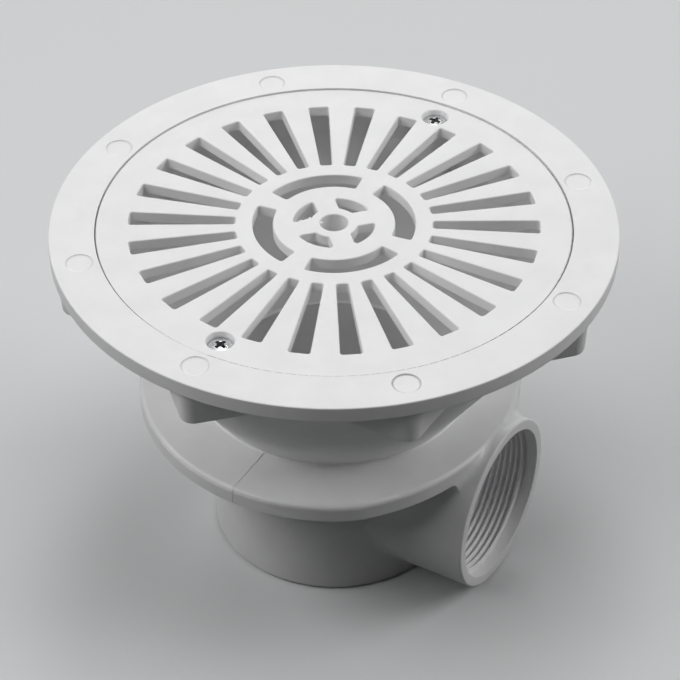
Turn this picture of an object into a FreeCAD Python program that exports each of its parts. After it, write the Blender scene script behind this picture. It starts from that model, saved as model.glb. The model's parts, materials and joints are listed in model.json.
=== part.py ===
import FreeCAD, Part
import math
import os

# Pool main drain: a plastic sump with a side outlet, and a slotted grate held by two screws.
# Millimetres. Z is up, the origin is the middle of the pot's underside, and the outlet faces +X.

# Heights of the sump, from the underside of the pot
overall_height = 143.0
outlet_ground_gap = 0.7
collar_rise = 0.3
collar_thickness = 7.0

# Sump walls
wall = 4.0
pot_radius = 48.2
pot_wall = 3.2
pot_floor = 4.5
pot_ledge_drop = 1.1
pot_foot_round = 1.2
neck_foot_radius = 52.4
neck_foot_round = 0.8
throat_straight_height = 14.2

# Top ring
ring_border = 16.8
ring_thickness = 6.1
ring_edge_round = 0.5
ring_root_round = 2.0

# Eight blind lugs under the ring, each with a shallow round dimple above it
lug_count = 8
lug_rim_distance = 7.4
lug_end_radius = 5.1
lug_flank_angle = 46.0
lug_root_flank_angle = 51.0
lug_drop = 14.8
lug_draft = 3.0
lug_edge_round = 1.6
dimple_rim_distance = 9.9
dimple_radius = 5.1
dimple_depth = 0.35

# Water-stop collar, flattened towards the outlet
collar_radius = 75.6
collar_flat_depth = 4.7
collar_flat_extra_radius = 7.9
collar_corner_radius = 40.0
collar_edge_round = 2.0

# Side outlet with a parallel 2 inch pipe thread, whose bore is at the root of the thread
outlet_stand_out = 3.3
outlet_wall = 4.5
outlet_edge_round = 0.7
outlet_collar_round = 3.0
outlet_pot_round = 1.5
thread_bore_radius = 29.8
thread_length = 20.0
mouth_bore_step = 0.5
mouth_bore_depth = 4.7
passage_step = 2.8

# Grate
grate_radius = 87.8
grate_thickness = 4.2
grate_sink = 0.5
grate_gap = 0.4
grate_seat_width = 3.3
grate_edge_round = 0.5
slot_count = 26
slot_inner_radius = 36.5
slot_rim_width = 11.9
slot_screw_step = 2.2
slot_inner_width = 4.4
slot_outer_width = 7.9
slot_corner_radius = 1.0
slot_edge_round = 0.5
arc_slot_count = 4
arc_slot_inner_radius = 22.6
arc_slot_outer_radius = 30.1
arc_slot_span = 72.0
arc_slot_start_angle = 45.0
petal_count = 4
petal_inner_radius = 8.9
petal_outer_radius = 15.2
petal_spoke_width = 8.2
hub_hole_radius = 5.2
hub_radius = 7.9
hub_depth = 9.5

# Two countersunk screws, their pillars in the sump and their threaded inserts
screw_count = 2
screw_start_angle = 90.0
screw_edge_distance = 8.9
screw_head_radius = 4.6
screw_head_sink = 1.4
screw_head_dome = 0.9
screw_head_rim = 0.3
screw_radius = 2.5
screw_length = 17.0
screw_clearance = 0.3
recess_depth = 1.7
cross_length = 4.8
cross_width = 1.0
head_pocket_gap = 0.3
head_pocket_draft = 5.0
pillar_radius = 6.5
insert_radius = 3.6
insert_length = 9.0
insert_head_gap = 0.3
insert_thread_gap = 0.05

# Worked-out sizes
outlet_radius = thread_bore_radius + outlet_wall
outlet_axis_height = outlet_ground_gap + outlet_radius
collar_top = outlet_axis_height + outlet_radius + collar_rise
collar_bottom = collar_top - collar_thickness
collar_flat_reach = collar_radius - collar_flat_depth
collar_flat_radius = collar_radius + collar_flat_extra_radius
outlet_reach = collar_flat_reach + outlet_stand_out
ring_underside = overall_height - ring_thickness
grate_top = overall_height - grate_sink
seat_height = grate_top - grate_thickness
recess_radius = grate_radius + grate_gap
ring_radius = recess_radius + ring_border
lug_circle_radius = ring_radius - lug_rim_distance
dimple_circle_radius = ring_radius - dimple_rim_distance
slot_outer_radius = grate_radius - slot_rim_width
screw_circle_radius = grate_radius - screw_edge_distance
throat_inner_radius = grate_radius - grate_seat_width
throat_radius = throat_inner_radius + wall
neck_top_height = ring_underside - throat_straight_height
neck_flare = (throat_radius - neck_foot_radius) / (neck_top_height - collar_top)
neck_wall_across = wall * math.sqrt(1.0 + neck_flare ** 2)
pot_inner_radius = pot_radius - pot_wall
pot_ledge_height = collar_top - pot_ledge_drop
cavity_top_height = neck_top_height + (neck_wall_across - wall) / neck_flare
cavity_foot_radius = throat_inner_radius - (cavity_top_height - pot_ledge_height) * neck_flare
screw_head_top = grate_top - screw_head_sink
screw_rim_top = screw_head_top - screw_head_dome
screw_cone_bottom = screw_rim_top - screw_head_rim - (screw_head_radius - screw_radius)
insert_top = screw_cone_bottom - insert_head_gap
insert_bottom = insert_top - insert_length
head_pocket_depth = grate_top - screw_rim_top
head_pocket_spread = math.tan(math.radians(head_pocket_draft))

# Directions, and how closely edges are told apart
up = FreeCAD.Vector(0, 0, 1)
outlet_direction = FreeCAD.Vector(1, 0, 0)
origin = FreeCAD.Vector(0, 0, 0)
tolerance = 1e-4
edge_samples = 9


def around(radius, angle, height):
    """The point at a radius and an angle in degrees about the sump's axis."""
    turn = math.radians(angle)
    return FreeCAD.Vector(radius * math.cos(turn), radius * math.sin(turn), height)


def turned(shape, angle):
    """A copy of a shape, turned about the sump's axis by an angle in degrees."""
    copy = shape.copy()
    copy.rotate(origin, up, angle)
    return copy


def pattern(shape, count, start_angle=0.0):
    """Copies of a shape, spread evenly round the sump's axis."""
    return [turned(shape, start_angle + index * 360.0 / count) for index in range(count)]


def spun(profile):
    """The solid made by turning a closed (radius, height) profile about the sump's axis."""
    points = [FreeCAD.Vector(radius, 0, height) for radius, height in profile]
    face = Part.Face(Part.makePolygon(points + points[:1]))
    return face.revolve(origin, up, 360)


def edges_at_height(shape, height, accept=lambda edge: True):
    """The edges of a shape that lie level at a height and that the test accepts."""
    def is_level(box):
        return abs(box.ZMin - height) < tolerance and abs(box.ZMax - height) < tolerance
    return [edge for edge in shape.Edges if is_level(edge.BoundBox) and accept(edge)]


def upright_edges(shape):
    """The straight edges of a shape that run along Z."""
    return [edge for edge in shape.Edges if edge.BoundBox.XLength + edge.BoundBox.YLength < tolerance]


def reach_of(edge):
    """How far an edge lies from the sump's axis, at its farthest."""
    return max(math.hypot(point.x, point.y) for point in edge.discretize(edge_samples))


def ring_and_neck():
    """The top ring, the throat wall and the funnel down to the collar, as one solid of revolution."""
    solid = spun([
        (0, collar_top),
        (neck_foot_radius, collar_top),
        (throat_radius, neck_top_height),
        (throat_radius, ring_underside),
        (ring_radius, ring_underside),
        (ring_radius, overall_height),
        (0, overall_height),
    ])
    rim = [edge for edge in edges_at_height(solid, overall_height) + edges_at_height(solid, ring_underside)
           if reach_of(edge) > ring_radius - ring_edge_round]
    solid = solid.makeFillet(ring_edge_round, rim)
    root = edges_at_height(solid, ring_underside, lambda edge: reach_of(edge) < throat_radius + tolerance)
    return solid.makeFillet(ring_root_round, root)


def pot():
    """The round pot, solid, with its foot edge rounded."""
    solid = Part.makeCylinder(pot_radius, collar_top)
    return solid.makeFillet(pot_foot_round, edges_at_height(solid, 0))


def collar():
    """The flat water-stop collar, whose outline is flattened towards the outlet."""
    full = Part.makeCylinder(collar_radius, collar_thickness, FreeCAD.Vector(0, 0, collar_bottom))
    flat_centre = FreeCAD.Vector(collar_flat_reach - collar_flat_radius, 0, collar_bottom)
    solid = full.common(Part.makeCylinder(collar_flat_radius, collar_thickness, flat_centre)).Solids[0]
    corners = [edge for edge in upright_edges(solid) if edge.CenterOfMass.x > 0]
    solid = solid.makeFillet(collar_corner_radius, corners)
    return solid.makeFillet(collar_edge_round, edges_at_height(solid, collar_top))


def lug_outline(end_radius, flank_angle, height):
    """The outline of a lug at a height: a round outer end, and flanks that spread towards the throat."""
    half = math.radians(flank_angle)
    tangent_x = lug_circle_radius + end_radius * math.sin(half)
    tangent_y = end_radius * math.cos(half)
    root_x = throat_inner_radius
    root_y = tangent_y + (tangent_x - root_x) * math.tan(half)
    corners = [FreeCAD.Vector(x, y, height) for x, y in (
        (tangent_x, tangent_y), (root_x, root_y), (root_x, -root_y), (tangent_x, -tangent_y))]
    end_middle = FreeCAD.Vector(lug_circle_radius + end_radius, 0, height)
    end = Part.Arc(corners[-1], end_middle, corners[0]).toShape()
    return Part.Wire([end] + Part.makePolygon(corners).Edges)


def lug():
    """One blind lug under the ring, drafted so that it narrows downwards."""
    bottom = ring_underside - lug_drop
    spread = lug_drop * math.tan(math.radians(lug_draft))
    tip = lug_outline(lug_end_radius, lug_flank_angle, bottom)
    root = lug_outline(lug_end_radius + spread, lug_root_flank_angle, ring_underside)
    solid = Part.makeLoft([tip, root], True, True)
    nose = edges_at_height(solid, bottom, lambda edge: reach_of(edge) > lug_circle_radius)
    return solid.makeFillet(lug_edge_round, nose)


def cavity():
    """The space inside the sump: the grate's recess, the throat, the funnel, a narrow ledge and the pot."""
    return spun([
        (0, pot_floor),
        (pot_inner_radius, pot_floor),
        (pot_inner_radius, pot_ledge_height),
        (cavity_foot_radius, pot_ledge_height),
        (throat_inner_radius, cavity_top_height),
        (throat_inner_radius, seat_height),
        (recess_radius, seat_height),
        (recess_radius, overall_height + wall),
        (0, overall_height + wall),
    ])


def screw_pillar():
    """One pillar that stands on the funnel's inner wall and carries a screw insert."""
    foot = collar_top
    height = seat_height - foot
    post = Part.makeCylinder(pillar_radius, height, around(screw_circle_radius, 0, foot))
    back = Part.makeBox(throat_radius - screw_circle_radius, 2 * pillar_radius, height,
                        FreeCAD.Vector(screw_circle_radius, -pillar_radius, foot))
    return post.fuse(back).removeSplitter()


def outlet_tube():
    """The outside of the side outlet, solid, with its mouth edge rounded and its seam underneath."""
    foot = FreeCAD.Vector(0, 0, outlet_axis_height)
    solid = Part.makeCylinder(outlet_radius, outlet_reach, foot, outlet_direction)
    mouth = [edge for edge in solid.Edges if edge.BoundBox.XMin > outlet_reach - outlet_edge_round]
    solid = solid.makeFillet(outlet_edge_round, mouth)
    solid.rotate(foot, outlet_direction, 180)
    return solid


def outlet_root_edges(solid):
    """The edges where the side outlet's outside meets the collar and the pot."""
    def is_on_outlet(point):
        return abs(math.hypot(point.y, point.z - outlet_axis_height) - outlet_radius) < tolerance
    return [edge for edge in solid.Edges
            if edge.BoundBox.XMax < outlet_reach - 2 * outlet_edge_round
            and edge.BoundBox.XMin > tolerance
            and all(is_on_outlet(point) for point in edge.discretize(edge_samples))]


def collar_pot_and_outlet():
    """The lower half of the sump, solid, with the outlet's root rounded into the collar and the pot."""
    solid = collar().fuse(pot()).removeSplitter().fuse(outlet_tube()).removeSplitter()
    collar_side = [edge for edge in outlet_root_edges(solid)
                   if edge.BoundBox.ZMin > collar_bottom - tolerance]
    solid = solid.makeFillet(outlet_collar_round, collar_side)
    pot_side = [edge for edge in outlet_root_edges(solid)
                if edge.BoundBox.XMax < pot_radius and edge.BoundBox.ZMax < collar_bottom
                and edge.BoundBox.ZLength > tolerance]
    return solid.makeFillet(outlet_pot_round, pot_side)


def outlet_bore():
    """The way out through the side outlet: the passage, the threaded length and the plain mouth."""
    thread_end = outlet_reach - mouth_bore_depth
    thread_start = thread_end - thread_length
    steps = [
        (thread_bore_radius - passage_step, 0, thread_start),
        (thread_bore_radius, thread_start, thread_end),
        (thread_bore_radius + mouth_bore_step, thread_end, outlet_reach + wall),
    ]
    lengths = []
    for radius, start, end in steps:
        foot = FreeCAD.Vector(start, 0, outlet_axis_height)
        lengths.append(Part.makeCylinder(radius, end - start, foot, outlet_direction))
    return lengths[0].multiFuse(lengths[1:])


def insert_and_screw_hole():
    """The cutter for one stepped hole in a pillar: the insert's seat, and room for the screw's tip."""
    insert_hole = Part.makeCylinder(insert_radius, seat_height - insert_bottom,
                                    around(screw_circle_radius, 0, insert_bottom))
    screw_bottom = screw_head_top - screw_length - screw_clearance
    screw_hole = Part.makeCylinder(screw_radius + screw_clearance, seat_height - screw_bottom,
                                   around(screw_circle_radius, 0, screw_bottom))
    return insert_hole.fuse(screw_hole)


def sump_body():
    """The whole sump as the one moulding that it is."""
    outside = ring_and_neck().fuse(collar_pot_and_outlet()).removeSplitter()
    neck_foot = edges_at_height(outside, collar_top, lambda edge: reach_of(edge) < neck_foot_radius + wall)
    outside = outside.makeFillet(neck_foot_round, neck_foot)
    outside = outside.multiFuse(pattern(lug(), lug_count))
    pillars = pattern(screw_pillar(), screw_count, screw_start_angle)
    inside = cavity().cut(Part.makeCompound(pillars))
    dimple = Part.makeCylinder(dimple_radius, dimple_depth + wall,
                               around(dimple_circle_radius, 0, overall_height - dimple_depth))
    holes = pattern(insert_and_screw_hole(), screw_count, screw_start_angle)
    body = outside.cut(inside).cut(outlet_bore())
    return body.cut(Part.makeCompound(pattern(dimple, lug_count) + holes)).removeSplitter()


def radial_slot(outer_radius):
    """The cutter for one radial slot on +X, wider towards the rim, with rounded corners."""
    taper = (slot_outer_width - slot_inner_width) / (slot_outer_radius - slot_inner_radius)
    outer_width = slot_inner_width + (outer_radius - slot_inner_radius) * taper
    outline = Part.makePolygon([
        FreeCAD.Vector(slot_inner_radius, -slot_inner_width / 2, seat_height - wall),
        FreeCAD.Vector(outer_radius, -outer_width / 2, seat_height - wall),
        FreeCAD.Vector(outer_radius, outer_width / 2, seat_height - wall),
        FreeCAD.Vector(slot_inner_radius, slot_inner_width / 2, seat_height - wall),
        FreeCAD.Vector(slot_inner_radius, -slot_inner_width / 2, seat_height - wall),
    ])
    solid = Part.Face(outline).extrude(up * (grate_thickness + 2 * wall))
    return solid.makeFillet(slot_corner_radius, upright_edges(solid))


def radial_slots():
    """All the radial slots, of which the ones beside a screw are shorter."""
    slot_step = 360.0 / slot_count
    screw_step = 360.0 / screw_count
    slots = []
    for index in range(slot_count):
        angle = index * slot_step
        from_screw = (angle - screw_start_angle + screw_step / 2) % screw_step - screw_step / 2
        is_beside_screw = abs(from_screw) < slot_step
        reach = slot_outer_radius - slot_screw_step if is_beside_screw else slot_outer_radius
        slots.append(turned(radial_slot(reach), angle))
    return slots


def sector(inner_radius, outer_radius, span):
    """A cutter shaped as a ring sector, centred on +X, with round corners in plan."""
    foot = FreeCAD.Vector(0, 0, seat_height - hub_depth)
    height = grate_thickness + hub_depth + wall
    outer = Part.makeCylinder(outer_radius, height, foot, up, span)
    inner = Part.makeCylinder(inner_radius, height, foot)
    solid = turned(outer.cut(inner), -span / 2).Solids[0]
    return solid.makeFillet(slot_corner_radius, upright_edges(solid))


def petal():
    """The cutter for one centre opening, between two spokes with parallel sides."""
    foot = FreeCAD.Vector(0, 0, seat_height - hub_depth)
    height = grate_thickness + hub_depth + wall
    ring = Part.makeCylinder(petal_outer_radius, height, foot)
    ring = ring.cut(Part.makeCylinder(petal_inner_radius, height, foot))
    half = math.pi / petal_count
    tip = FreeCAD.Vector(petal_spoke_width / 2 / math.sin(half), 0, foot.z)
    side = 2 * petal_outer_radius
    reach = [FreeCAD.Vector(side * math.cos(turn), side * math.sin(turn), 0) for turn in (-half, half)]
    wedge = Part.Face(Part.makePolygon([tip, tip + reach[0], tip + reach[1], tip])).extrude(up * height)
    solid = ring.common(wedge).Solids[0]
    return solid.makeFillet(slot_corner_radius, upright_edges(solid))


def grate():
    """The slotted grate with its hub, openings and two countersunk screw holes."""
    plate = Part.makeCylinder(grate_radius, grate_thickness, FreeCAD.Vector(0, 0, seat_height))
    plate = plate.makeFillet(grate_edge_round, edges_at_height(plate, grate_top))
    hub_foot = FreeCAD.Vector(0, 0, grate_top - hub_depth)
    solid = plate.fuse(Part.makeCylinder(hub_radius, hub_depth, hub_foot))
    arc_slot = sector(arc_slot_inner_radius, arc_slot_outer_radius, arc_slot_span)
    cutters = radial_slots()
    cutters += pattern(arc_slot, arc_slot_count, arc_slot_start_angle)
    cutters += pattern(petal(), petal_count)
    cutters.append(Part.makeCylinder(hub_hole_radius, hub_depth, hub_foot))
    cutters += pattern(screw_head_pocket(), screw_count, screw_start_angle)
    solid = solid.cut(Part.makeCompound(cutters)).removeSplitter()
    rounded_reach = grate_radius - 2 * grate_edge_round
    openings = edges_at_height(solid, grate_top, lambda edge: reach_of(edge) < rounded_reach)
    return solid.makeFillet(slot_edge_round, openings)


def screw_profile(head_gap, thread_gap, length):
    """The half section of a countersunk screw, from its tip to its head's rim, grown by the two gaps."""
    head_radius = screw_head_radius + head_gap
    shank_radius = screw_radius + thread_gap
    rim_bottom = screw_rim_top - screw_head_rim
    cone_bottom = rim_bottom - (head_radius - shank_radius)
    return [
        (0, screw_head_top - length),
        (shank_radius, screw_head_top - length),
        (shank_radius, cone_bottom),
        (head_radius, rim_bottom),
        (head_radius, screw_rim_top),
    ]


def moved_to_screw(shape):
    """A shape made about the sump's axis, moved out to the screw circle on +X."""
    copy = shape.copy()
    copy.translate(around(screw_circle_radius, 0, 0))
    return copy


def screw_head_pocket():
    """The cutter for one countersunk screw hole in the grate, with a drafted pocket above the head."""
    cone = spun(screw_profile(head_pocket_gap, screw_clearance, screw_length) + [(0, screw_rim_top)])
    foot_radius = screw_head_radius + head_pocket_gap
    height = head_pocket_depth + wall
    well = Part.makeCone(foot_radius, foot_radius + height * head_pocket_spread, height,
                         FreeCAD.Vector(0, 0, screw_rim_top))
    return moved_to_screw(cone.fuse(well))


def screw():
    """One countersunk screw with an oval head and a cross recess in it."""
    dome_radius = (screw_head_radius ** 2 + screw_head_dome ** 2) / (2 * screw_head_dome)
    half_turn = math.asin(screw_head_radius / dome_radius) / 2
    dome_middle = FreeCAD.Vector(dome_radius * math.sin(half_turn), 0,
                                 screw_head_top - dome_radius * (1 - math.cos(half_turn)))
    crown = FreeCAD.Vector(0, 0, screw_head_top)
    corners = [FreeCAD.Vector(radius, 0, height) for radius, height in screw_profile(0, 0, screw_length)]
    dome = Part.Arc(corners[-1], dome_middle, crown).toShape()
    outline = Part.Wire(Part.makePolygon([crown] + corners).Edges + [dome])
    solid = Part.Face(outline).revolve(origin, up, 360)
    bar = Part.makeBox(cross_length, cross_width, recess_depth + wall,
                       FreeCAD.Vector(-cross_length / 2, -cross_width / 2, screw_head_top - recess_depth))
    cross = bar.fuse(turned(bar, 90.0))
    return moved_to_screw(solid.cut(cross))


def insert():
    """One threaded insert, pressed into its pillar just below the grate's seat."""
    foot = FreeCAD.Vector(0, 0, insert_bottom)
    sleeve = Part.makeCylinder(insert_radius, insert_length, foot)
    bore = Part.makeCylinder(screw_radius + insert_thread_gap, insert_length, foot)
    return moved_to_screw(sleeve.cut(bore))


os.makedirs("parts", exist_ok=True)
sump_body().exportStep("parts/sump_body.step")
grate().exportStep("parts/grate.step")
Part.makeCompound(pattern(screw(), screw_count, screw_start_angle)).exportStep("parts/grate_screws.step")
Part.makeCompound(pattern(insert(), screw_count, screw_start_angle)).exportStep("parts/screw_inserts.step")
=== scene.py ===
import json
import math
import random

import bmesh
import bpy
from mathutils import Matrix, Vector


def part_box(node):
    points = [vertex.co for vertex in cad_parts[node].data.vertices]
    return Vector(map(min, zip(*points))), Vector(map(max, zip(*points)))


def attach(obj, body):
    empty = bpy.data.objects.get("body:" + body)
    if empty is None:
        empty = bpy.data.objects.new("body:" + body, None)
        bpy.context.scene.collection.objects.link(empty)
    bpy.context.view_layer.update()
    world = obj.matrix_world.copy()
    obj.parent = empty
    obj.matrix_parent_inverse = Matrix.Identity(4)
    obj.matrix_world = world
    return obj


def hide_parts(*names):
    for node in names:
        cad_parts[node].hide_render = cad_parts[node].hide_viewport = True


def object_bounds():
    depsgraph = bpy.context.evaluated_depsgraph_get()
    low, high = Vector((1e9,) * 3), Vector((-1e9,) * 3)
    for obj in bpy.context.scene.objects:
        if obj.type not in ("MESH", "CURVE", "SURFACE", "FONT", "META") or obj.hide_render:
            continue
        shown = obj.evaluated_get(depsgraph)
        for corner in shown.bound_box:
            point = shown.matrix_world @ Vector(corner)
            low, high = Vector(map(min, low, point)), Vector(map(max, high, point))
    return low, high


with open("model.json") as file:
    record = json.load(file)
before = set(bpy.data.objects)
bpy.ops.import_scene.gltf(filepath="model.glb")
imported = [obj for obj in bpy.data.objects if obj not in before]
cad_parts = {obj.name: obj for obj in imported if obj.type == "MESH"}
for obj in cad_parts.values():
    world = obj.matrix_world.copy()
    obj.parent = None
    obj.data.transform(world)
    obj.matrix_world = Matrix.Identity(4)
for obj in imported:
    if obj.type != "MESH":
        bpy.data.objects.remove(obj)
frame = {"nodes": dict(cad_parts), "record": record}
cad_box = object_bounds()

# Sump body
# One injection moulding in white ABS: the ring set in the pool floor, the lugs under it, the funnel,
# the water-stop collar, the pot and the side outlet. Every wall is as it came out of the mould.
sump_white = "#F2F2F2"
sump_shade = "#EEEEEE"
flow_mark_size = 0.016
# The grain and the draw marks are really 0.1 to 0.2 mm wide, and are drawn coarser so that they show.
mould_grain_size = 0.0011
draw_mark_width = 0.0014
draw_mark_length = 0.030
mould_grain_height = 0.000006
draw_mark_height = 0.000004
flow_mark_height = 0.000012
flow_mark_contrast = (0.38, 0.62)
mould_grain_contrast = (0.3, 0.7)
light_sinks_in = 0.0012
light_share_sunk = 0.35
abs_refraction = 1.53
abs_roughness = (0.36, 0.46)
dimple_count = 8
dimple_circle = 0.0951
dimple_radius = 0.0048
dimple_lip_width = 0.0009
dimple_lip_height = 0.0013
dimple_lip_depth = 0.0005
deep_dimple_turn = -45.0
shallow_dimple_share = 0.34


def linear(hex_colour):
    """A colour written as sRGB hex, as linear red, green, blue and alpha."""
    channels = [int(hex_colour[start:start + 2], 16) / 255 for start in (1, 3, 5)]
    return [c / 12.92 if c <= 0.04045 else ((c + 0.055) / 1.055) ** 2.4 for c in channels] + [1.0]


def add(tree, kind, inputs=None, **settings):
    """A new node, with its settings, and with each input either linked to a socket or set to a value."""
    node = tree.nodes.new(kind)
    for name, value in settings.items():
        setattr(node, name, value)
    for key, value in (inputs or {}).items():
        if isinstance(value, bpy.types.NodeSocket):
            tree.links.new(value, node.inputs[key])
        else:
            node.inputs[key].default_value = value
    return node


def moulded_abs(name, white, shade):
    """ABS from a spark-eroded steel mould: a satin white that light sinks a little way into, clouded by
    faint flow marks, with a fine even grain, and with faint marks down the walls where the steel slid off."""
    material = bpy.data.materials.new(name)
    material.use_nodes = True
    tree = material.node_tree
    plastic = tree.nodes["Principled BSDF"]
    place = add(tree, "ShaderNodeTexCoord").outputs["Object"]
    flow = add(tree, "ShaderNodeTexNoise",
               {"Vector": place, "Scale": 1 / flow_mark_size, "Detail": 3.0, "Roughness": 0.55})
    grain = add(tree, "ShaderNodeTexNoise",
                {"Vector": place, "Scale": 1 / mould_grain_size, "Detail": 2.0, "Roughness": 0.6})
    stretch = (1 / draw_mark_width, 1 / draw_mark_width, 1 / draw_mark_length)
    drawn = add(tree, "ShaderNodeMapping", {"Vector": place, "Scale": stretch})
    drag = add(tree, "ShaderNodeTexNoise", {"Vector": drawn.outputs[0], "Scale": 1.0, "Detail": 2.0})
    cloud = add(tree, "ShaderNodeMapRange",
                {"Value": flow.outputs["Fac"], "From Min": flow_mark_contrast[0],
                 "From Max": flow_mark_contrast[1]})
    tint = add(tree, "ShaderNodeMix", {0: cloud.outputs[0], 6: linear(shade), 7: linear(white)},
               data_type="RGBA")
    gloss = add(tree, "ShaderNodeMapRange",
                {"Value": grain.outputs["Fac"], "From Min": mould_grain_contrast[0],
                 "From Max": mould_grain_contrast[1], "To Min": abs_roughness[0], "To Max": abs_roughness[1]})
    waves = add(tree, "ShaderNodeBump",
                {"Height": flow.outputs["Fac"], "Strength": 1.0, "Distance": flow_mark_height})
    marks = add(tree, "ShaderNodeBump",
                {"Height": drag.outputs["Fac"], "Strength": 1.0, "Distance": draw_mark_height,
                 "Normal": waves.outputs[0]})
    bumps = add(tree, "ShaderNodeBump",
                {"Height": grain.outputs["Fac"], "Strength": 1.0, "Distance": mould_grain_height,
                 "Normal": marks.outputs[0]})
    tree.links.new(tint.outputs[2], plastic.inputs["Base Color"])
    tree.links.new(gloss.outputs[0], plastic.inputs["Roughness"])
    tree.links.new(bumps.outputs[0], plastic.inputs["Normal"])
    plastic.inputs["IOR"].default_value = abs_refraction
    plastic.inputs["Subsurface Weight"].default_value = light_share_sunk
    plastic.inputs["Subsurface Radius"].default_value = (1.0, 1.0, 1.0)
    plastic.inputs["Subsurface Scale"].default_value = light_sinks_in
    return material


def dress(node_name, material):
    """Gives one of the solid pieces its finish."""
    slots = frame["nodes"][node_name].material_slots
    for slot in slots:
        slot.material = material


def sink_dimples(material, lowest):
    """Adds the lips of the sink marks over the lugs, where the thick plastic drew in as it cooled:
    one round each dimple, and the deepest beside the outlet."""
    tree = material.node_tree
    plastic = tree.nodes["Principled BSDF"]
    place = add(tree, "ShaderNodeTexCoord").outputs["Object"]
    where = add(tree, "ShaderNodeSeparateXYZ", {0: place}).outputs
    level = add(tree, "ShaderNodeCombineXYZ", {"X": where["X"], "Y": where["Y"]})
    out = add(tree, "ShaderNodeVectorMath", {0: level.outputs[0]}, operation="LENGTH").outputs["Value"]
    angle = add(tree, "ShaderNodeMath", {0: where["Y"], 1: where["X"]}, operation="ARCTAN2")
    half_pitch = math.pi / dimple_count
    turn = add(tree, "ShaderNodeMath", {0: angle.outputs[0], 1: half_pitch}, operation="PINGPONG")
    spot = add(tree, "ShaderNodeCombineXYZ", {"X": out})
    here = add(tree, "ShaderNodeVectorRotate", {"Vector": spot.outputs[0], "Angle": turn.outputs[0]},
               rotation_type="Z_AXIS")
    gap = add(tree, "ShaderNodeVectorMath", {0: here.outputs[0], 1: (dimple_circle, 0, 0)},
              operation="DISTANCE")
    lip = add(tree, "ShaderNodeMapRange",
              {"Value": gap.outputs["Value"], "From Min": dimple_radius - dimple_lip_width / 2,
               "From Max": dimple_radius + dimple_lip_width / 2}, interpolation_type="SMOOTHSTEP")
    on_top = add(tree, "ShaderNodeMath", {0: where["Z"], 1: lowest}, operation="GREATER_THAN")
    aside = add(tree, "ShaderNodeMath", {0: angle.outputs[0], 1: math.radians(deep_dimple_turn)},
                operation="SUBTRACT")
    apart = add(tree, "ShaderNodeMath", {0: aside.outputs[0]}, operation="ABSOLUTE")
    share = add(tree, "ShaderNodeMapRange",
                {"Value": apart.outputs[0], "From Min": half_pitch / 2, "From Max": half_pitch,
                 "To Min": 1.0, "To Max": shallow_dimple_share})
    sunk = add(tree, "ShaderNodeMath", {0: lip.outputs[0], 1: share.outputs[0]}, operation="MULTIPLY")
    height = add(tree, "ShaderNodeMath", {0: sunk.outputs[0], 1: on_top.outputs[0]}, operation="MULTIPLY")
    fine = plastic.inputs["Normal"].links[0].from_socket
    bump = add(tree, "ShaderNodeBump",
               {"Height": height.outputs[0], "Strength": 1.0, "Distance": dimple_lip_height, "Normal": fine})
    tree.links.new(bump.outputs[0], plastic.inputs["Normal"])


sump_abs = moulded_abs("satin_white_abs_sump", sump_white, sump_shade)
sink_dimples(sump_abs, cad_box[1].z - dimple_lip_depth)
dress("sump_body", sump_abs)

# Outlet thread
# The 2 inch parallel pipe thread inside the side outlet, moulded with the sump round a core that unscrews.
# The bore is at the thread's root, so the thread is one ridge that winds along it to the plain mouth.
outlet = next(mount for mount in frame["record"]["mounts"] if mount["name"] == "outlet_thread")
thread_root_radius = outlet["dims"]["r_mm"] / 1000
thread_length = outlet["dims"]["length_mm"] / 1000
thread_middle = Vector(outlet["pos_m"])
pipe_thread_pitch = 0.002309
pipe_thread_depth = 0.00148
pipe_thread_crest = 0.00050
pipe_thread_foot = 0.00226
pipe_thread_sunk = 0.00012
pipe_thread_round = 0.00022
pipe_thread_steps = 120
pipe_thread_run_out = 0.35
pipe_thread_cut_gap = 0.00003
thread_end_share = 0.02


def named_tree(name, **kinds):
    """A Geometry Nodes tree with a geometry in and out and one input socket for each named size."""
    tree = bpy.data.node_groups.new(name, "GeometryNodeTree")
    tree.interface.new_socket("Geometry", in_out="INPUT", socket_type="NodeSocketGeometry")
    tree.interface.new_socket("Geometry", in_out="OUTPUT", socket_type="NodeSocketGeometry")
    for label, kind in kinds.items():
        tree.interface.new_socket(label, in_out="INPUT", socket_type="NodeSocket" + kind)
    return tree, add(tree, "NodeGroupInput").outputs


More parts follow.
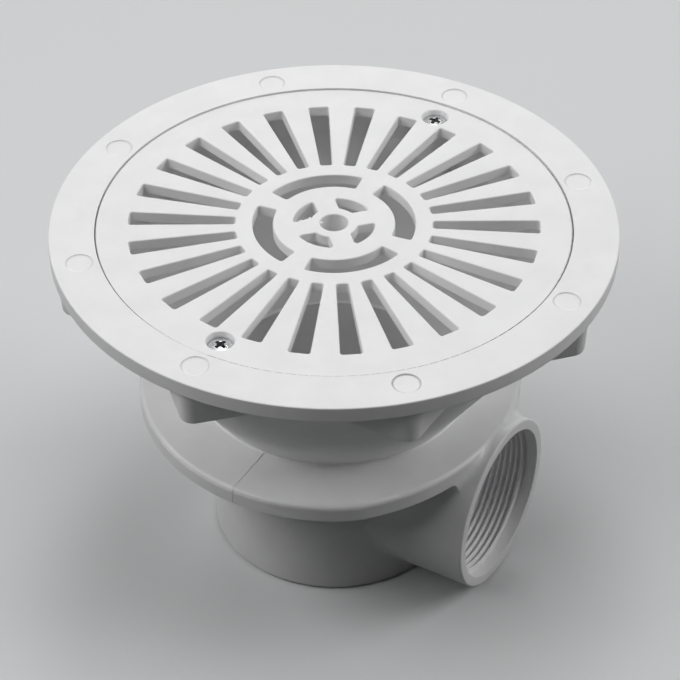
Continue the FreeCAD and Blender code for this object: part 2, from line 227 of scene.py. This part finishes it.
def thread_ridge_tree():
    """A ridge that winds along Z: a rounded trapezium swept along a helix, fading out at both ends."""
    tree, given = named_tree("thread_ridge", radius="Float", depth="Float", pitch="Float", turns="Float",
                             crest="Float", foot="Float", rounding="Float", fade="Float", facing="Float",
                             steps="Int")
    height = add(tree, "ShaderNodeMath", {0: given["pitch"], 1: given["turns"]}, operation="MULTIPLY")
    helix = add(tree, "GeometryNodeCurveSpiral",
                {"Resolution": given["steps"], "Rotations": given["turns"], "Start Radius": given["radius"],
                 "End Radius": given["radius"], "Height": height.outputs[0]})
    level = add(tree, "GeometryNodeSetCurveNormal", {"Curve": helix.outputs[0]}, mode="Z_UP")
    along = add(tree, "GeometryNodeSplineParameter").outputs["Factor"]
    back = add(tree, "ShaderNodeMath", {0: 1.0, 1: along}, operation="SUBTRACT")
    nearest = add(tree, "ShaderNodeMath", {0: along, 1: back.outputs[0]}, operation="MINIMUM")
    turned = add(tree, "ShaderNodeMath", {0: nearest.outputs[0], 1: given["turns"]}, operation="MULTIPLY")
    swell = add(tree, "ShaderNodeMapRange",
                {"Value": turned.outputs[0], "From Max": given["fade"], "To Min": thread_end_share},
                interpolation_type="SMOOTHSTEP")
    profile = add(tree, "GeometryNodeCurvePrimitiveQuadrilateral",
                  {"Bottom Width": given["foot"], "Top Width": given["crest"], "Offset": 0.0,
                   "Height": given["depth"]}, mode="TRAPEZOID")
    half = add(tree, "ShaderNodeMath", {0: given["depth"], 1: 0.5}, operation="MULTIPLY")
    lift = add(tree, "ShaderNodeCombineXYZ", {"Y": half.outputs[0]})
    stood = add(tree, "GeometryNodeTransform",
                {"Geometry": profile.outputs[0], "Translation": lift.outputs[0]})
    heading = add(tree, "ShaderNodeCombineXYZ", {"Z": given["facing"]})
    faced = add(tree, "GeometryNodeTransform",
                {"Geometry": stood.outputs[0], "Rotation": heading.outputs[0]})
    eased = add(tree, "GeometryNodeFilletCurve",
                {"Curve": faced.outputs[0], "Count": 3, "Radius": given["rounding"], "Limit Radius": True},
                mode="POLY")
    swept = add(tree, "GeometryNodeCurveToMesh",
                {"Curve": level.outputs[0], "Profile Curve": eased.outputs[0], "Scale": swell.outputs[0],
                 "Fill Caps": True})
    return tree, given, swept.outputs[0]


def close_tree(tree, geometry, material):
    """Ends a tree: smooth faces, real geometry and the material."""
    smooth = add(tree, "GeometryNodeSetShadeSmooth", {"Geometry": geometry})
    real = add(tree, "GeometryNodeRealizeInstances", {"Geometry": smooth.outputs[0]})
    finished = add(tree, "GeometryNodeSetMaterial", {"Geometry": real.outputs[0], "Material": material})
    add(tree, "NodeGroupOutput", {"Geometry": finished.outputs[0]})


def grown(name, tree, sizes, data=None):
    """A plain mesh object made by running a tree with the given sizes."""
    seed = bpy.data.objects.new(name + "_seed", data or bpy.data.meshes.new(name + "_seed"))
    bpy.context.scene.collection.objects.link(seed)
    modifier = seed.modifiers.new(name, "NODES")
    modifier.node_group = tree
    for socket in tree.interface.items_tree:
        if socket.in_out == "INPUT" and socket.name in sizes:
            modifier[socket.identifier] = sizes[socket.name]
    ready = seed.evaluated_get(bpy.context.evaluated_depsgraph_get())
    mesh = bpy.data.meshes.new_from_object(ready)
    seed.modifiers.remove(modifier)
    bpy.data.objects.remove(seed)
    piece = bpy.data.objects.new(name, mesh)
    bpy.context.scene.collection.objects.link(piece)
    return piece


def cut_off(mesh, place, away):
    """Cuts off what lies beyond a plane through a place, and closes the cut."""
    solid = bmesh.new()
    solid.from_mesh(mesh)
    cut = bmesh.ops.bisect_plane(solid, geom=solid.verts[:] + solid.edges[:] + solid.faces[:],
                                 plane_co=place, plane_no=away, clear_outer=True)
    rim = [part for part in cut["geom_cut"] if isinstance(part, bmesh.types.BMEdge)]
    closed = bmesh.ops.edgenet_fill(solid, edges=rim)
    for face in closed["faces"]:
        face.smooth = False
    bmesh.ops.recalc_face_normals(solid, faces=solid.faces)
    solid.to_mesh(mesh)
    solid.free()


pipe_thread_turns = (thread_length - pipe_thread_foot) / pipe_thread_pitch + 1
thread_tree, _, thread_geometry = thread_ridge_tree()
close_tree(thread_tree, thread_geometry, sump_abs)
outlet_thread = grown("outlet_thread", thread_tree, {
    "radius": thread_root_radius + pipe_thread_sunk, "depth": pipe_thread_depth + pipe_thread_sunk,
    "pitch": pipe_thread_pitch, "turns": pipe_thread_turns, "crest": pipe_thread_crest,
    "foot": pipe_thread_foot, "rounding": pipe_thread_round, "fade": pipe_thread_run_out,
    "facing": -math.pi / 2, "steps": pipe_thread_steps})
lie_down = Matrix.Rotation(math.radians(90), 4, "Y")
thread_start = thread_middle - Vector(((thread_length - pipe_thread_foot) / 2, 0, 0))
mouth_step = thread_middle + Vector((thread_length / 2 - pipe_thread_cut_gap, 0, 0))
outlet_thread.data.transform(Matrix.Translation(thread_start) @ lie_down)
cut_off(outlet_thread.data, mouth_step, Vector((1, 0, 0)))
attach(outlet_thread, "root")

# Parting line
# The fine ridge that the mould's two halves leave across the water-stop collar, at the front and at the back.
# It is part of the sump's plastic, and stands up a little more where it meets the neck.
collar_top = 0.0696
collar_bottom = 0.0626
collar_rim = 0.0756
collar_round = 0.0020
parting_start = 0.0534
parting_half_width = 0.00017
parting_sunk = 0.00005
parting_nub = 2.4
parting_nub_share = 0.03
bend_steps = 6


def ridge_tree():
    """A fine round bead along each path that comes in, swollen at the path's start."""
    tree, given = named_tree("parting_ridge", half_width="Float", nub="Float", nub_share="Float")
    along = add(tree, "GeometryNodeSplineParameter").outputs["Factor"]
    swell = add(tree, "ShaderNodeMapRange",
                {"Value": along, "From Max": given["nub_share"], "To Min": given["nub"], "To Max": 1.0})
    section = add(tree, "GeometryNodeCurvePrimitiveCircle", {"Resolution": 8, "Radius": given["half_width"]})
    swept = add(tree, "GeometryNodeCurveToMesh",
                {"Curve": given["Geometry"], "Profile Curve": section.outputs[0], "Scale": swell.outputs[0],
                 "Fill Caps": True})
    return tree, swept.outputs[0]


paths = bpy.data.curves.new("parting_paths", "CURVE")
paths.dimensions = "3D"
edge = collar_rim - collar_round - parting_sunk
bends = [math.radians(90 - 90 * step / bend_steps) for step in range(bend_steps + 1)]
section_line = [(parting_start, collar_top - parting_sunk)]
section_line += [(edge + collar_round * math.cos(bend),
                  collar_top - parting_sunk - collar_round + collar_round * math.sin(bend)) for bend in bends]
section_line.append((collar_rim - parting_sunk, collar_bottom))
for side in (-1, 1):
    spline = paths.splines.new("POLY")
    spline.points.add(len(section_line) - 1)
    for point, (out, height) in zip(spline.points, section_line):
        point.co = (0, side * out, height, 1)
parting_tree, parting_geometry = ridge_tree()
close_tree(parting_tree, parting_geometry, sump_abs)
parting_line = grown("parting_line", parting_tree, {
    "half_width": parting_half_width, "nub": parting_nub, "nub_share": parting_nub_share}, paths)
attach(parting_line, "root")

# Screw inserts
# Two turned brass sleeves with an inside thread, pressed into the pillars that stand in the sump's throat.
# Only their upper ends can be seen, once the grate is off.
insert_brass_colour = "#C9A45A"
insert_brass_dull = "#A8843F"
# Turning marks are really about 0.1 mm apart, and are drawn coarser so that they show.
turning_mark_width = 0.00025
turning_mark_height = 0.00002
wave_texture_turn = 0.314
brass_film_size = 0.002
brass_roughness = (0.22, 0.42)


def turned_brass(name, bright, dull):
    """Lathe-turned brass: warm yellow with fine level rings from the tool and a patchy dull film."""
    material = bpy.data.materials.new(name)
    material.use_nodes = True
    tree = material.node_tree
    metal = tree.nodes["Principled BSDF"]
    place = add(tree, "ShaderNodeTexCoord").outputs["Object"]
    film = add(tree, "ShaderNodeTexNoise", {"Vector": place, "Scale": 1 / brass_film_size, "Detail": 3.0})
    rings = add(tree, "ShaderNodeTexWave",
                {"Vector": place, "Scale": wave_texture_turn / turning_mark_width, "Distortion": 0.6},
                bands_direction="Z")
    colour = add(tree, "ShaderNodeMix", {0: film.outputs["Fac"], 6: linear(bright), 7: linear(dull)},
                 data_type="RGBA")
    rough = add(tree, "ShaderNodeMapRange",
                {"Value": film.outputs["Fac"], "To Min": brass_roughness[0], "To Max": brass_roughness[1]})
    bump = add(tree, "ShaderNodeBump",
               {"Height": rings.outputs["Fac"], "Strength": 0.6, "Distance": turning_mark_height})
    tree.links.new(colour.outputs[2], metal.inputs["Base Color"])
    tree.links.new(rough.outputs[0], metal.inputs["Roughness"])
    tree.links.new(bump.outputs[0], metal.inputs["Normal"])
    metal.inputs["Metallic"].default_value = 1.0
    return material


dress("screw_inserts", turned_brass("turned_brass", insert_brass_colour, insert_brass_dull))

# Grate
# A white ABS moulding that drops into the ring's recess and covers the sump, with radial slots,
# arc slots and four openings round a hub. It is the same plastic as the sump, from another mould.
grate_white = "#F2F2F2"
grate_shade = "#EEEEEE"
# Painted shade: this grey is mixed into the grate's edge colour just below its top, on one side, to stand in
# for the shadow in the gap round the grate.
gap_shade_grey = "#6E6E6D"
gap_shade_top = 0.00004
gap_shade_full = 0.00013
gap_shade_reach = 0.0006
gap_shade_side = (0.5, -0.866, 0)
gap_shade_fade = (0.0, 0.05)


def paint_gap_shade(material, rim, face, painted_grey):
    """Paints shade into a plate's base colour: a grey just below the top of its outer edge, on one side, that
    draws the gap as a fine dark line.
    """
    tree = material.node_tree
    plastic = tree.nodes["Principled BSDF"]
    place = add(tree, "ShaderNodeTexCoord").outputs["Object"]
    where = add(tree, "ShaderNodeSeparateXYZ", {0: place}).outputs
    level = add(tree, "ShaderNodeCombineXYZ", {"X": where["X"], "Y": where["Y"]})
    out = add(tree, "ShaderNodeVectorMath", {0: level.outputs[0]}, operation="LENGTH")
    at_rim = add(tree, "ShaderNodeMath", {0: out.outputs["Value"], 1: rim - gap_shade_reach},
                 operation="GREATER_THAN")
    sunk = add(tree, "ShaderNodeMapRange",
               {"Value": where["Z"], "From Min": face - gap_shade_full, "From Max": face - gap_shade_top,
                "To Min": 1.0, "To Max": 0.0})
    across = add(tree, "ShaderNodeVectorMath", {0: place, 1: gap_shade_side}, operation="DOT_PRODUCT")
    shaded_side = add(tree, "ShaderNodeMapRange",
                   {"Value": across.outputs["Value"], "From Min": gap_shade_fade[0],
                    "From Max": gap_shade_fade[1]})
    edge = add(tree, "ShaderNodeMath", {0: at_rim.outputs[0], 1: sunk.outputs[0]}, operation="MULTIPLY")
    share = add(tree, "ShaderNodeMath", {0: edge.outputs[0], 1: shaded_side.outputs[0]}, operation="MULTIPLY")
    clean = plastic.inputs["Base Color"].links[0].from_socket
    # Painted shade: the gap's shadow line mixed into the grate's base colour.
    colour = add(tree, "ShaderNodeMix", {0: share.outputs[0], 6: clean, 7: linear(painted_grey)}, data_type="RGBA")
    tree.links.new(colour.outputs[2], plastic.inputs["Base Color"])


grate_abs = moulded_abs("satin_white_abs_grate", grate_white, grate_shade)
grate_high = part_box("grate")[1]
paint_gap_shade(grate_abs, grate_high.x, grate_high.z, gap_shade_grey)
dress("grate", grate_abs)

# Mould flash
# Ragged skins of plastic that crept past the mould's faces, on two of the openings round the hub and on the
# centre hole. They are a few tenths of a millimetre thick and were never trimmed off.
flash_thickness = 0.0003
flash_root = 0.0004
flash_steps = 11
flash_seed = 7
flash_reach_range = (0.25, 1.0)
flash_drop_range = (0.6, 1.2)
flash_edges = (
    (((-0.0122, -0.0064), (-0.0104, -0.0046), (-0.0088, -0.0030), (-0.0088, -0.0015)),
     (-0.0122, 0.0), 0.0021, 0.0002),
    (((0.0052, 0.0143), (0.0064, 0.0138), (0.0072, 0.0134)), (0.0, 0.0120), 0.0014, 0.0003),
    (((-0.0050, -0.0010), (-0.0049, -0.0017), (-0.0046, -0.0024)), (0.0, 0.0), 0.0012, 0.0006),
)
dice = random.Random(flash_seed)
grate_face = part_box("grate")[1].z


def ragged_skin(skins, edge, middle, reach, depth):
    """Adds a thin skin along an opening's edge, with a torn lip that reaches towards the opening's middle."""
    columns = []
    spans = len(edge) - 1
    for step in range(flash_steps + 1):
        place = spans * step / flash_steps
        first = min(int(place), spans - 1)
        start, end = Vector(edge[first]), Vector(edge[first + 1])
        foot = start.lerp(end, place - first)
        inward = (Vector(middle) - foot).normalized()
        fade = math.sin(math.pi * step / flash_steps) ** 0.5
        lip = foot + inward * reach * fade * dice.uniform(*flash_reach_range)
        root = foot - inward * flash_root
        top = grate_face - depth
        drop = flash_thickness * dice.uniform(*flash_drop_range)
        columns.append([skins.verts.new((*root, top)), skins.verts.new((*lip, top - drop / 3)),
                        skins.verts.new((*lip, top - drop)), skins.verts.new((*root, top - flash_thickness))])
    for left, right in zip(columns, columns[1:]):
        for corner in range(4):
            after = (corner + 1) % 4
            skins.faces.new((left[corner], right[corner], right[after], left[after]))
    skins.faces.new(columns[0])
    skins.faces.new(columns[-1][::-1])


skins = bmesh.new()
for edge_points, opening_middle, skin_reach, skin_depth in flash_edges:
    ragged_skin(skins, edge_points, opening_middle, skin_reach, skin_depth)
bmesh.ops.recalc_face_normals(skins, faces=skins.faces)


def mesh_object(name, built):
    """A scene object from a bmesh."""
    mesh = bpy.data.meshes.new(name)
    built.to_mesh(mesh)
    built.free()
    thing = bpy.data.objects.new(name, mesh)
    bpy.context.scene.collection.objects.link(thing)
    return thing


grate_flash = mesh_object("grate_flash", skins)
grate_flash.data.materials.append(grate_abs)
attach(grate_flash, "root")

# Grate screws
# Two stainless steel machine screws with an oval countersunk head and a cross recess, cold-formed and
# polished. Each sits in a pocket of the grate and goes down into a brass insert.
steel_bright = "#E0E1E2"
steel_dull = "#CBCDCF"
# Near-black painted shade for the cross recess in the screw heads.
recess_painted_shade = "#2B2B2C"
screw_low, screw_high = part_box("grate_screws")
screw_head_radius = 0.0046
screw_circle = screw_high.y - screw_head_radius
screw_head_dome = 0.0009
screw_head_rim = 0.0003
screw_root_radius = 0.00200
screw_thread_radius = 0.00250
screw_length = screw_high.z - screw_low.z
screw_tip_chamfer = 0.0007
screw_thread_pitch = 0.0008
screw_plain_length = 0.0006
screw_thread_sunk = 0.00005
screw_thread_crest = 0.00012
screw_thread_foot = 0.0007
screw_thread_round = 0.00004
screw_thread_run_out = 0.5
screw_thread_steps = 32
screw_turns = (86.0, 75.0)
cross_rise = 0.0003
cross_depth = 0.0019
cross_top = (0.0028, 0.00076)
cross_bottom = (0.0010, 0.00050)
cross_core = (0.00145, 0.00060)
cross_core_sides = 24
recess_lip = 0.0003
steel_cloud_size = 0.0015
steel_cloud_contrast = (0.3, 0.7)
steel_dent_height = 0.00003
steel_roughness = (0.2, 0.36)
lathe_steps = 64
dome_steps = 8


def polished_steel(name, bright, dull, recess_shade):
    """Cold-formed stainless steel: a soft grey mirror, cloudy where it was tumbled, with painted shade that
    turns the cross recess near black."""
    material = bpy.data.materials.new(name)
    material.use_nodes = True
    tree = material.node_tree
    metal = tree.nodes["Principled BSDF"]
    place = add(tree, "ShaderNodeTexCoord").outputs["Object"]
    cloud = add(tree, "ShaderNodeTexNoise", {"Vector": place, "Scale": 1 / steel_cloud_size, "Detail": 4.0})
    recess = add(tree, "ShaderNodeAttribute", attribute_name="recess").outputs["Fac"]
    steel = add(tree, "ShaderNodeMix", {0: cloud.outputs["Fac"], 6: linear(bright), 7: linear(dull)},
                data_type="RGBA")
    # Painted shade: the recess faces are mixed to near black, where shade falls inside the cross.
    colour = add(tree, "ShaderNodeMix", {0: recess, 6: steel.outputs[2], 7: linear(recess_shade)}, data_type="RGBA")
    rough = add(tree, "ShaderNodeMapRange",
                {"Value": cloud.outputs["Fac"], "From Min": steel_cloud_contrast[0],
                 "From Max": steel_cloud_contrast[1], "To Min": steel_roughness[0],
                 "To Max": steel_roughness[1]})
    bump = add(tree, "ShaderNodeBump",
               {"Height": cloud.outputs["Fac"], "Strength": 0.5, "Distance": steel_dent_height})
    tree.links.new(colour.outputs[2], metal.inputs["Base Color"])
    tree.links.new(rough.outputs[0], metal.inputs["Roughness"])
    tree.links.new(bump.outputs[0], metal.inputs["Normal"])
    metal.inputs["Metallic"].default_value = 1.0
    return material


def lathed(profile, steps):
    """A closed solid of revolution about Z through (radius, height) points that start and end on the axis."""
    solid = bmesh.new()
    rings = []
    for radius, height in profile:
        if radius == 0:
            rings.append([solid.verts.new((0, 0, height))] * steps)
            continue
        angles = [2 * math.pi * step / steps for step in range(steps)]
        rings.append([solid.verts.new((radius * math.cos(a), radius * math.sin(a), height)) for a in angles])
    for lower, upper in zip(rings, rings[1:]):
        for step in range(steps):
            after = (step + 1) % steps
            corners = [lower[step], lower[after], upper[after], upper[step]]
            solid.faces.new(list(dict.fromkeys(corners)))
    bmesh.ops.recalc_face_normals(solid, faces=solid.faces)
    return solid


def screw_profile():
    """Half the section of a screw whose head tops out at zero: tip, shank, countersunk cone and oval dome."""
    cone_top = -screw_head_dome - screw_head_rim
    cone_bottom = cone_top - (screw_head_radius - screw_root_radius)
    tip = -screw_length
    dome_radius = (screw_head_radius ** 2 + screw_head_dome ** 2) / (2 * screw_head_dome)
    outs = [screw_head_radius * (1 - step / dome_steps) for step in range(dome_steps)]
    dome = [(out, math.sqrt(dome_radius ** 2 - out ** 2) - dome_radius) for out in outs]
    shank = [(0, tip), (screw_root_radius - screw_tip_chamfer, tip),
             (screw_root_radius, tip + screw_tip_chamfer), (screw_root_radius, cone_bottom)]
    return shank + [(screw_head_radius, cone_top)] + dome + [(0, 0)]


def cross_cutter():
    """Two crossing wedges and a cone between them, which all narrow downwards, as a cross point does."""
    cutter = bmesh.new()
    for long_x in (True, False):
        corners = []
        for height, (length, width) in ((-cross_depth, cross_bottom), (cross_rise, cross_top)):
            for side_x, side_y in ((-1, -1), (1, -1), (1, 1), (-1, 1)):
                across = (length, width) if long_x else (width, length)
                corners.append(cutter.verts.new((side_x * across[0], side_y * across[1], height)))
        for quad in ((3, 2, 1, 0), (4, 5, 6, 7), (0, 1, 5, 4), (1, 2, 6, 5), (2, 3, 7, 6), (3, 0, 4, 7)):
            cutter.faces.new([corners[index] for index in quad])
    height = cross_rise + cross_depth
    bmesh.ops.create_cone(cutter, cap_ends=True, segments=cross_core_sides, radius1=cross_core[1],
                          radius2=cross_core[0], depth=height,
                          matrix=Matrix.Translation((0, 0, cross_rise - height / 2)))
    return cutter


screw_blank = mesh_object("screw_blank", lathed(screw_profile(), lathe_steps))
cross = mesh_object("cross", cross_cutter())
cut = screw_blank.modifiers.new("cross_recess", "BOOLEAN")
cut.object = cross
cut.operation = "DIFFERENCE"
cut.solver = "EXACT"
cut.use_self = True
screw_mesh = bpy.data.meshes.new_from_object(
    screw_blank.evaluated_get(bpy.context.evaluated_depsgraph_get()))
screw_blank.modifiers.remove(cut)
for scaffold in (screw_blank, cross):
    bpy.data.objects.remove(scaffold)
recess_mark = screw_mesh.attributes.new("recess", "FLOAT", "FACE")
for face in screw_mesh.polygons:
    deep = face.center.z < -recess_lip and face.center.xy.length < cross_top[0]
    recess_mark.data[face.index].value = 1.0 if deep else 0.0


def screws_tree():
    """The screw that comes in, with a thread wound on its shank, stood on each side of the grate."""
    tree, given, ridge = thread_ridge_tree()
    tree.name = "grate_screws"
    for label in ("circle", "head_top", "thread_bottom", "first_turn", "second_turn"):
        tree.interface.new_socket(label, in_out="INPUT", socket_type="NodeSocketFloat")
    drop = add(tree, "ShaderNodeCombineXYZ", {"Z": given["thread_bottom"]})
    wound = add(tree, "GeometryNodeTransform", {"Geometry": ridge, "Translation": drop.outputs[0]})
    whole = add(tree, "GeometryNodeJoinGeometry", {"Geometry": given["Geometry"]})
    tree.links.new(wound.outputs[0], whole.inputs["Geometry"])
    index = add(tree, "GeometryNodeInputIndex").outputs[0]
    side = add(tree, "ShaderNodeMapRange", {"Value": index, "To Min": given["circle"]})
    opposite = add(tree, "ShaderNodeMath", {0: given["circle"], 1: -1.0}, operation="MULTIPLY")
    tree.links.new(opposite.outputs[0], side.inputs["To Max"])
    spot = add(tree, "ShaderNodeCombineXYZ", {"Y": side.outputs[0], "Z": given["head_top"]})
    spots = add(tree, "GeometryNodePoints", {"Count": 2, "Position": spot.outputs[0]})
    angle = add(tree, "ShaderNodeMapRange",
                {"Value": index, "To Min": given["first_turn"], "To Max": given["second_turn"]})
    spin = add(tree, "FunctionNodeAxisAngleToRotation", {"Angle": angle.outputs[0]})
    screws = add(tree, "GeometryNodeInstanceOnPoints",
                 {"Points": spots.outputs[0], "Instance": whole.outputs[0], "Rotation": spin.outputs[0]})
    return tree, screws.outputs[0]


screw_tree, screw_geometry = screws_tree()
stainless = polished_steel("polished_stainless_steel", steel_bright, steel_dull, recess_painted_shade)
close_tree(screw_tree, screw_geometry, stainless)
threaded_length = screw_length - screw_head_dome - screw_head_rim - (
    screw_head_radius - screw_root_radius) - screw_plain_length - screw_tip_chamfer
grate_screws = grown("grate_screws_detailed", screw_tree, {
    "radius": screw_root_radius - screw_thread_sunk,
    "depth": screw_thread_radius - screw_root_radius + screw_thread_sunk,
    "pitch": screw_thread_pitch, "turns": threaded_length / screw_thread_pitch,
    "crest": screw_thread_crest, "foot": screw_thread_foot, "rounding": screw_thread_round,
    "fade": screw_thread_run_out, "facing": math.pi / 2, "steps": screw_thread_steps,
    "circle": screw_circle, "head_top": screw_high.z, "thread_bottom": -screw_length + screw_tip_chamfer,
    "first_turn": math.radians(screw_turns[0]), "second_turn": math.radians(screw_turns[1])}, screw_mesh)
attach(grate_screws, "root")
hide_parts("grate_screws")

# Floor and light
# A plain pale studio floor, lit by large soft lamps from both sides, overhead and behind, as a product
# photograph is. Each lamp has its azimuth and elevation, distance, size and power.
floor_pale = "#DADBDC"
floor_under = "#303132"
floor_radius = 3.0
floor_drop = 0.0004
floor_sides = 96
floor_cloud_size = 0.15
floor_roughness = (0.75, 0.85)
world_pale = "#E4E5E6"
world_level = 0.0
lamp_aim_height = 0.09
mirrored_level = 0.65
lamps = (
    ("left", 204.0, 35.0, 1.6, 0.9, 7.6),
    ("left_front", 243.0, 46.0, 1.6, 0.9, 5.3),
    ("right", 34.0, 32.0, 1.6, 0.9, 10.0),
    ("overhead", 0.0, 88.0, 1.6, 0.8, 5.0),
    ("high_back", 120.0, 66.0, 1.6, 0.45, 3.4),
    ("low_back", 120.0, 12.0, 1.6, 0.9, 6.2),
)


def painted_floor(name, pale, under):
    """Matt painted board: an even pale grey with a faint cloudiness, which throws little light back up."""
    material = bpy.data.materials.new(name)
    material.use_nodes = True
    tree = material.node_tree
    paint = tree.nodes["Principled BSDF"]
    place = add(tree, "ShaderNodeTexCoord").outputs["Object"]
    cloud = add(tree, "ShaderNodeTexNoise", {"Vector": place, "Scale": 1 / floor_cloud_size, "Detail": 3.0})
    light = add(tree, "ShaderNodeLightPath").outputs
    seen = add(tree, "ShaderNodeMath", {0: light["Is Camera Ray"], 1: light["Is Glossy Ray"]},
               operation="MAXIMUM")
    shown = add(tree, "ShaderNodeMath", {0: seen.outputs[0], 1: light["Is Transmission Ray"]},
                operation="MAXIMUM")
    colour = add(tree, "ShaderNodeMix", {0: shown.outputs[0], 6: linear(under), 7: linear(pale)},
                 data_type="RGBA")
    rough = add(tree, "ShaderNodeMapRange",
                {"Value": cloud.outputs["Fac"], "To Min": floor_roughness[0], "To Max": floor_roughness[1]})
    tree.links.new(colour.outputs[2], paint.inputs["Base Color"])
    tree.links.new(rough.outputs[0], paint.inputs["Roughness"])
    return material


floor_mesh = bmesh.new()
bmesh.ops.create_circle(floor_mesh, cap_ends=True, segments=floor_sides, radius=floor_radius,
                        matrix=Matrix.Translation((0, 0, -floor_drop)))
floor = mesh_object("studio_floor", floor_mesh)
floor.data.materials.append(painted_floor("matt_painted_floor", floor_pale, floor_under))

world = bpy.data.worlds.new("studio")
world.use_nodes = True
bpy.context.scene.world = world
sky = world.node_tree
rays = add(sky, "ShaderNodeLightPath").outputs
mirrored = add(sky, "ShaderNodeMapRange",
               {"Value": rays["Is Glossy Ray"], "To Min": world_level, "To Max": mirrored_level})
level = add(sky, "ShaderNodeMapRange",
            {"Value": rays["Is Camera Ray"], "To Min": mirrored.outputs[0], "To Max": 1.0})
background = sky.nodes["Background"]
background.inputs["Color"].default_value = linear(world_pale)
sky.links.new(level.outputs[0], background.inputs["Strength"])

lamp_aim = Vector((0, 0, lamp_aim_height))
for lamp_name, azimuth, elevation, distance, size, power in lamps:
    lamp = bpy.data.lights.new(lamp_name, "AREA")
    lamp.shape = "DISK"
    lamp.size = size
    lamp.energy = power
    lamp_object = bpy.data.objects.new(lamp_name, lamp)
    bpy.context.scene.collection.objects.link(lamp_object)
    flat = distance * math.cos(math.radians(elevation))
    lamp_object.location = lamp_aim + Vector((flat * math.cos(math.radians(azimuth)),
                                              flat * math.sin(math.radians(azimuth)),
                                              distance * math.sin(math.radians(elevation))))
    lamp_object.rotation_euler = (lamp_aim - lamp_object.location).to_track_quat("-Z", "Y").to_euler()

# Camera
# Looks down on the drain as the photograph does, from in front and 30 degrees to the outlet's side.
camera_azimuth = 30.0
camera_elevation = 39.554
camera_roll = -0.171
camera_distance = 0.88912
camera_lens = 127.756
camera_sensor = 36.0
aim_right = 0.002074
aim_up = -0.043790
ring_top = Vector((0, 0, cad_box[1].z))
turn = math.radians(camera_azimuth)
tilt = math.radians(camera_elevation)
right = Vector((math.cos(turn), math.sin(turn), 0))
away = Vector((-math.sin(turn) * math.cos(tilt), math.cos(turn) * math.cos(tilt), -math.sin(tilt)))
upward = right.cross(away)
camera = bpy.data.cameras.new("camera")
camera.sensor_width = camera_sensor
camera.lens = camera_lens
camera_object = bpy.data.objects.new("camera", camera)
bpy.context.scene.collection.objects.link(camera_object)
facing = Matrix((right, upward, -away)).transposed()
camera_object.matrix_world = Matrix.Translation(
    ring_top + right * aim_right + upward * aim_up - away * camera_distance) @ (
    facing @ Matrix.Rotation(math.radians(camera_roll), 3, "Z")).to_4x4()
bpy.context.scene.camera = camera_object
bpy.context.scene.view_settings.view_transform = "Standard"
